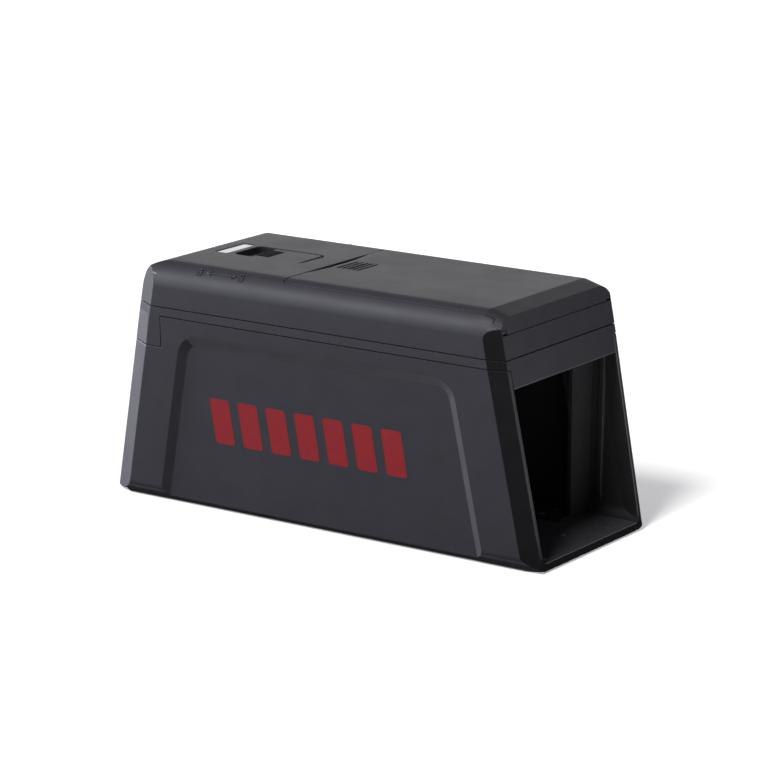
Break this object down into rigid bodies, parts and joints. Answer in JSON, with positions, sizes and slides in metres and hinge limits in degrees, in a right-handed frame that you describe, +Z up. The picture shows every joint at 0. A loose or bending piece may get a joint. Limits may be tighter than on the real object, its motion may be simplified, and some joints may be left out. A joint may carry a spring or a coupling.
{
  "type": "electronic mouse trap",
  "caption": "Tunnel mouse trap: a raked plastic box with an open mouth, a hinged top lid, a lock slider, inner diverters and charged floor plates.",
  "frame": {"origin": "on the ground under the middle of the shell", "axes": "+X towards the open mouth, +Z up, the long sides face -Y and +Y"},
  "size_m": [0.2303, 0.0908, 0.1087],
  "materials": {
    "shell_plastic": "finely textured charcoal plastic",
    "slider_plastic": "satin charcoal plastic",
    "grip_plastic": "soft black plastic",
    "natural_plastic": "unpainted natural plastic",
    "inner_plastic": "smooth black plastic",
    "window_plastic": "milky light guide",
    "steel": "plated steel",
    "plate_metal": "galvanised sheet",
    "lead_brass": "brass strip",
    "board_laminate": "green board laminate",
    "ferrite": "dark ferrite",
    "coil_tape": "amber coil tape",
    "capacitor_sleeve": "shrink sleeve",
    "capacitor_red": "dipped resin",
    "cell_sleeve": "plain cell sleeve",
    "foot_rubber": "soft rubber"
  },
  "bodies": {
    "case": {"base_shell": "shell_plastic", "mid_frame": "shell_plastic", "upper_housing": "shell_plastic", "hinge_pins": "steel", "status_window": "window_plastic", "status_leds": "window_plastic", "front_diverter": "inner_plastic", "rear_diverter": "inner_plastic", "floor_rivets": "inner_plastic", "rear_bulkhead": "inner_plastic", "bulkhead_screws": "steel", "front_plate": "plate_metal", "middle_plate": "plate_metal", "rear_plate": "plate_metal", "plate_screws": "steel", "plate_leads": "lead_brass", "main_board": "board_laminate", "board_screws": "steel", "transformer_core": "ferrite", "transformer_coil": "coil_tape", "capacitors": "capacitor_sleeve", "film_capacitor": "capacitor_red", "control_chip": "grip_plastic", "interlock_switch": "steel", "battery_tray": "inner_plastic", "battery_cells": "cell_sleeve", "contact_strips": "steel", "contact_springs": "steel", "housing_screws": "steel", "rubber_feet": "foot_rubber"},
    "top_lid": {"lid": "shell_plastic"},
    "lock": {"lock_slider": "slider_plastic", "slider_grip": "grip_plastic", "latch_carriage": "natural_plastic", "carriage_screws": "steel", "switch_knob": "grip_plastic"},
    "battery_cover": {"battery_door": "shell_plastic"}
  },
  "joints": [
    {"name": "lid_hinge", "type": "hinge", "parent": "case", "child": "top_lid", "pos_m": [0.09389, 0, 0.1006], "axis": [0, 1, 0], "range_deg": [0, 90]},
    {"name": "lock_slide", "type": "slide", "parent": "case", "child": "lock", "axis": [-1, 0, 0], "range_m": [0, 0.008]},
    {"name": "battery_door_hinge", "type": "hinge", "parent": "case", "child": "battery_cover", "pos_m": [-0.0403, 0, 0.0023], "axis": [0, -1, 0], "range_deg": [0, 95]}
  ]
}
